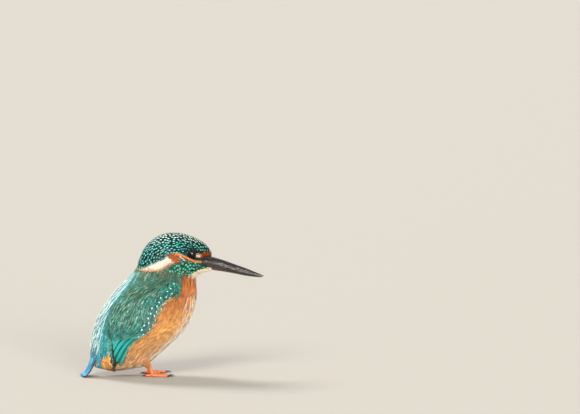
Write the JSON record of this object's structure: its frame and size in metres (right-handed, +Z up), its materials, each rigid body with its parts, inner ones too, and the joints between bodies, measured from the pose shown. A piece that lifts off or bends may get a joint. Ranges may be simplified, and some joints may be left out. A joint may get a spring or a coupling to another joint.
{
  "type": "kingfisher",
  "caption": "Perched common kingfisher, life size, as a still museum model: long dagger bill, short tail, folded wings.",
  "frame": {"origin": "on the floor, under the middle of the bird's length and on its middle plane", "axes": "+X the way the bird faces, +Y its left side, +Z up"},
  "size_m": [0.1306, 0.0498, 0.0998],
  "materials": {
    "crown_feathers": "satin",
    "rufous_feathers": "matte",
    "teal_feathers": "satin",
    "azure_feathers": "satin",
    "bill_horn": "satin",
    "eye": "gloss",
    "foot_skin": "satin",
    "claw_horn": "satin"
  },
  "bodies": {
    "root": {"head": "crown_feathers", "neck": "rufous_feathers", "trunk": "rufous_feathers", "tail": "azure_feathers", "bill_upper": "bill_horn", "bill_lower": "bill_horn", "eye_left": "eye", "wing_left": "teal_feathers", "thigh_left": "rufous_feathers", "leg_left": "foot_skin", "foot_left": "foot_skin", "claw_left_middle": "claw_horn", "claw_left_outer": "claw_horn", "claw_left_inner": "claw_horn", "claw_left_hind": "claw_horn", "eye_right": "eye", "wing_right": "teal_feathers", "thigh_right": "rufous_feathers", "leg_right": "foot_skin", "foot_right": "foot_skin", "claw_right_middle": "claw_horn", "claw_right_outer": "claw_horn", "claw_right_inner": "claw_horn", "claw_right_hind": "claw_horn"}
  },
  "joints": []
}
